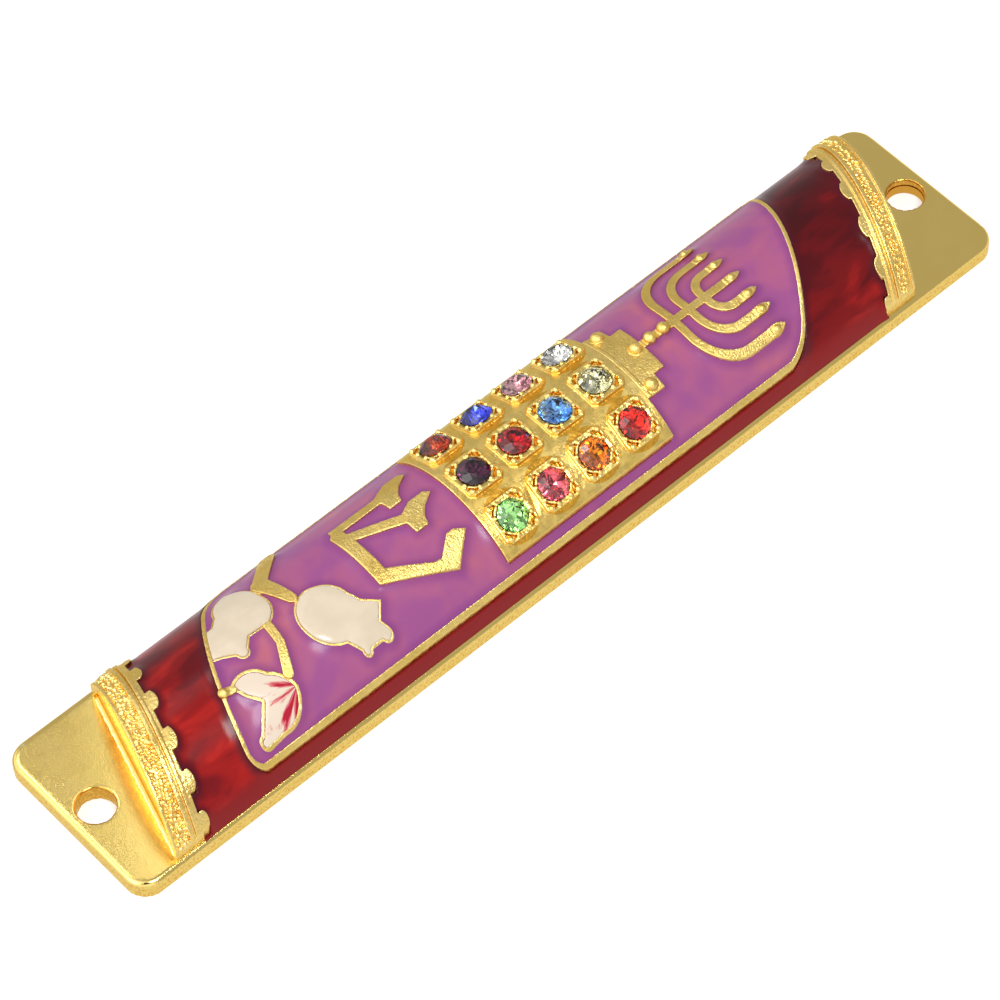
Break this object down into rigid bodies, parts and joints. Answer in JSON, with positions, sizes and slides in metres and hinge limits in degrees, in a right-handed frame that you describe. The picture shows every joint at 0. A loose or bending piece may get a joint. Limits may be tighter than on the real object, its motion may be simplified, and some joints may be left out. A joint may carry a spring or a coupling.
{
  "type": "mezuzah case",
  "caption": "Gilded half-barrel mezuzah case with enamelled relief, set stones, screw holes in its ears and a sliding back cover.",
  "frame": {"origin": "centre of the back face, which lies on the wall or table", "axes": "+X toward the end that is uppermost on a doorpost, +Z out of the decorated face, -Y to the reader's right when the case stands upright"},
  "size_m": [0.1206, 0.0222, 0.0115],
  "materials": {
    "gilded_casting": "gold-plated casting, finely granular on the sides, smooth on the ears",
    "gilded_relief": "gold-plated relief, bright on its edges with a granular cast skin",
    "cream_enamel": "opaque glossy enamel, slightly domed",
    "leaf_enamel": "opaque white enamel with dark red streaks, glossy",
    "purple_enamel": "glossy purple enamel with soft pink and orange clouds",
    "red_enamel": "translucent glossy dark red enamel, mottled",
    "stone_peridot": "foil-backed cut glass stone",
    "stone_rose": "foil-backed cut glass stone",
    "stone_topaz": "foil-backed cut glass stone",
    "stone_light_red": "foil-backed cut glass stone",
    "stone_amethyst": "foil-backed cut glass stone",
    "stone_garnet": "foil-backed cut glass stone",
    "stone_light_blue": "foil-backed cut glass stone",
    "stone_pale_yellow": "foil-backed cut glass stone",
    "stone_smoky_orange": "foil-backed cut glass stone",
    "stone_blue": "foil-backed cut glass stone",
    "stone_light_pink": "foil-backed cut glass stone",
    "stone_clear": "foil-backed cut glass stone",
    "gilded_cover": "plain gold-plated strip, satin",
    "parchment": "matt rolled parchment"
  },
  "bodies": {
    "case": {"front_casting": "gilded_casting", "crown_band_bottom": "gilded_relief", "crown_band_top": "gilded_relief", "panel_border": "gilded_relief", "breastplate": "gilded_relief", "lamp_foot": "gilded_relief", "seven_branch_lamp": "gilded_relief", "letter_shin": "gilded_relief", "pomegranate_sprig": "gilded_relief", "leaf_outline": "gilded_relief", "left_pomegranate_enamel": "cream_enamel", "right_pomegranate_enamel": "cream_enamel", "leaf_enamel": "leaf_enamel", "panel_enamel": "purple_enamel", "outer_enamel": "red_enamel", "stone_row1_column1": "stone_peridot", "stone_row1_column2": "stone_rose", "stone_row1_column3": "stone_topaz", "stone_row1_column4": "stone_light_red", "stone_row2_column1": "stone_amethyst", "stone_row2_column2": "stone_garnet", "stone_row2_column3": "stone_light_blue", "stone_row2_column4": "stone_pale_yellow", "stone_row3_column1": "stone_smoky_orange", "stone_row3_column2": "stone_blue", "stone_row3_column3": "stone_light_pink", "stone_row3_column4": "stone_clear", "parchment_scroll": "parchment"},
    "cover": {"rear_cover": "gilded_cover"}
  },
  "joints": [
    {"name": "cover_slide", "type": "slide", "parent": "case", "child": "cover", "axis": [1, 0, 0], "range_m": [0, 0.1]}
  ]
}
